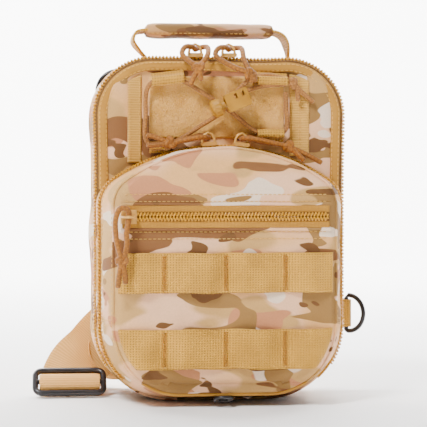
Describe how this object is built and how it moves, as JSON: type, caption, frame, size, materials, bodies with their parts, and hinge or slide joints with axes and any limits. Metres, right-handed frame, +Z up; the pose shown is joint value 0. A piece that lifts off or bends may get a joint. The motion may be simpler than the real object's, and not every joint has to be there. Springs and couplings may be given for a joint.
{
  "type": "sling bag",
  "caption": "Compact upright one-shoulder sling bag with zipped main compartment, zipped front pocket with webbing rows, bungee lacing, grab handle and padded strap.",
  "frame": {"origin": "centre of the flat base of the main compartment, on the surface the bag stands on", "axes": "+Z up; the front pocket faces -Y, so +Y is the back that rests on the wearer; +X is the right side seen from the front"},
  "size_m": [0.2322, 0.1403, 0.25],
  "materials": {
    "camo_fabric": null,
    "lining_fabric": "plain light nylon lining",
    "tan_webbing": "matte ribbed webbing",
    "wing_fabric": "plain matte nylon pack cloth",
    "binding_tape": "narrow ribbed edge tape",
    "loop_fabric": "fuzzy loop pile",
    "mesh_fabric": "padded spacer mesh",
    "pull_cord": "braided cord sheath",
    "bungee_cord": "braided elastic cord",
    "zipper_coil": "nylon coil on woven tape",
    "tan_plastic": "moulded, lightly textured",
    "slider_metal": "satin tan enamel",
    "black_metal": "satin black"
  },
  "bodies": {
    "bag_body": {"back_panel": "camo_fabric", "main_gusset": "camo_fabric", "main_zip_rear": "zipper_coil", "inner_sleeve": "lining_fabric", "sleeve_binding": "binding_tape", "back_pad_upper": "mesh_fabric", "back_pad_lower": "mesh_fabric", "handle_foot_left": "tan_webbing", "handle_foot_right": "tan_webbing", "strap_anchor_top": "tan_webbing", "strap_anchor_lower": "tan_webbing", "shoulder_pad": "mesh_fabric", "strap_webbing": "tan_webbing", "tri_glide": "black_metal", "side_wing": "wing_fabric", "ring_tab_right": "tan_webbing", "ring_tab_top_left": "tan_webbing"},
    "cover": {"cover_panel": "camo_fabric", "main_zip_front": "zipper_coil", "cover_binding": "binding_tape", "loop_panel": "loop_fabric", "strip_left": "tan_webbing", "strip_right": "tan_webbing", "tab_upper_left": "tan_webbing", "tab_upper_right": "tan_webbing", "tab_lower_left": "tan_webbing", "tab_lower_right": "tan_webbing", "bungee": "bungee_cord", "bungee_ends": "bungee_cord", "cord_lock_body": "tan_plastic", "pocket_tray": "camo_fabric", "pocket_rear_band": "camo_fabric", "pocket_zip_rear": "zipper_coil", "pocket_divider": "lining_fabric", "drain_grommet": "black_metal"},
    "pocket": {"pocket_zip_front": "zipper_coil", "pocket_gusset": "camo_fabric", "pocket_front_panel": "camo_fabric", "flat_zip_upper": "zipper_coil", "flat_zip_lower": "zipper_coil", "web_row_lower": "tan_webbing", "web_row_upper": "tan_webbing"},
    "main_slider_left": {"main_slider_left": "slider_metal"},
    "main_slider_right": {"main_slider_right": "slider_metal"},
    "pocket_slider_left": {"pocket_slider_left": "slider_metal"},
    "pocket_slider_right": {"pocket_slider_right": "slider_metal"},
    "flat_slider": {"flat_slider": "slider_metal"},
    "main_pull_left": {"main_pull_left": "pull_cord"},
    "main_pull_right": {"main_pull_right": "pull_cord"},
    "pocket_pull_left": {"pocket_pull_left": "pull_cord"},
    "pocket_pull_right": {"pocket_pull_right": "pull_cord"},
    "flat_pull": {"flat_pull": "pull_cord"},
    "handle": {"handle_webbing": "tan_webbing", "handle_grip": "camo_fabric"},
    "d_ring_right": {"d_ring_right": "black_metal"},
    "d_ring_top_left": {"d_ring_top_left": "black_metal"},
    "cord_lock_button": {"cord_lock_button": "tan_plastic"}
  },
  "joints": [
    {"name": "cover_hinge", "type": "hinge", "parent": "bag_body", "child": "cover", "pos_m": [0, -0.0115, 0.006], "axis": [1, 0, 0], "range_deg": [0, 30]},
    {"name": "pocket_hinge", "type": "hinge", "parent": "cover", "child": "pocket", "pos_m": [0, -0.0465, 0.015], "axis": [1, 0, 0], "range_deg": [0, 40]},
    {"name": "main_slider_left_slide", "type": "slide", "parent": "cover", "child": "main_slider_left", "axis": [1, 0, 0], "range_m": [-0.024, 0.001]},
    {"name": "main_slider_right_slide", "type": "slide", "parent": "cover", "child": "main_slider_right", "axis": [1, 0, 0], "range_m": [-0.001, 0.034]},
    {"name": "pocket_slider_left_run", "type": "hinge", "parent": "pocket", "child": "pocket_slider_left", "pos_m": [0, -0.0205, 0.036], "axis": [0, 1, 0], "range_deg": [0, 1.7]},
    {"name": "pocket_slider_right_run", "type": "hinge", "parent": "pocket", "child": "pocket_slider_right", "pos_m": [0, -0.0205, 0.036], "axis": [0, 1, 0], "range_deg": [-1.7, 0.9]},
    {"name": "flat_slider_slide", "type": "slide", "parent": "pocket", "child": "flat_slider", "axis": [1, 0, 0], "range_m": [0, 0.12]},
    {"name": "main_pull_left_swing", "type": "hinge", "parent": "main_slider_left", "child": "main_pull_left", "pos_m": [-0.016, -0.011, 0.234], "axis": [-1, 0, 0], "range_deg": [0, 20]},
    {"name": "main_pull_right_swing", "type": "hinge", "parent": "main_slider_right", "child": "main_pull_right", "pos_m": [0.006, -0.011, 0.234], "axis": [-1, 0, 0], "range_deg": [0, 20]},
    {"name": "pocket_pull_left_swing", "type": "hinge", "parent": "pocket_slider_left", "child": "pocket_pull_left", "pos_m": [-0.0083, -0.0205, 0.1723], "axis": [-1, 0, 0], "range_deg": [0, 12]},
    {"name": "pocket_pull_right_swing", "type": "hinge", "parent": "pocket_slider_right", "child": "pocket_pull_right", "pos_m": [0.0135, -0.0205, 0.1719], "axis": [-1, 0, 0], "range_deg": [0, 12]},
    {"name": "flat_pull_swing", "type": "hinge", "parent": "flat_slider", "child": "flat_pull", "pos_m": [-0.062, -0.0607, 0.122], "axis": [-1, 0, 0], "range_deg": [0, 17]},
    {"name": "handle_fold", "type": "hinge", "parent": "bag_body", "child": "handle", "pos_m": [0, 0.02, 0.2276], "axis": [1, 0, 0], "range_deg": [-40, 40]},
    {"name": "d_ring_right_swing", "type": "hinge", "parent": "bag_body", "child": "d_ring_right", "pos_m": [0.097, 0.0546, 0.052], "axis": [0, 0, 1], "range_deg": [-40, 60]},
    {"name": "d_ring_top_left_swing", "type": "hinge", "parent": "bag_body", "child": "d_ring_top_left", "pos_m": [-0.064, 0.0522, 0.207], "axis": [-0.7071, 0, -0.7071], "range_deg": [0, 110]},
    {"name": "cord_lock_press", "type": "slide", "parent": "cover", "child": "cord_lock_button", "axis": [0.9272, 0, 0.3746], "range_m": [0, 0.003], "stiffness_N_per_m": 300, "springref_m": -0.003}
  ]
}
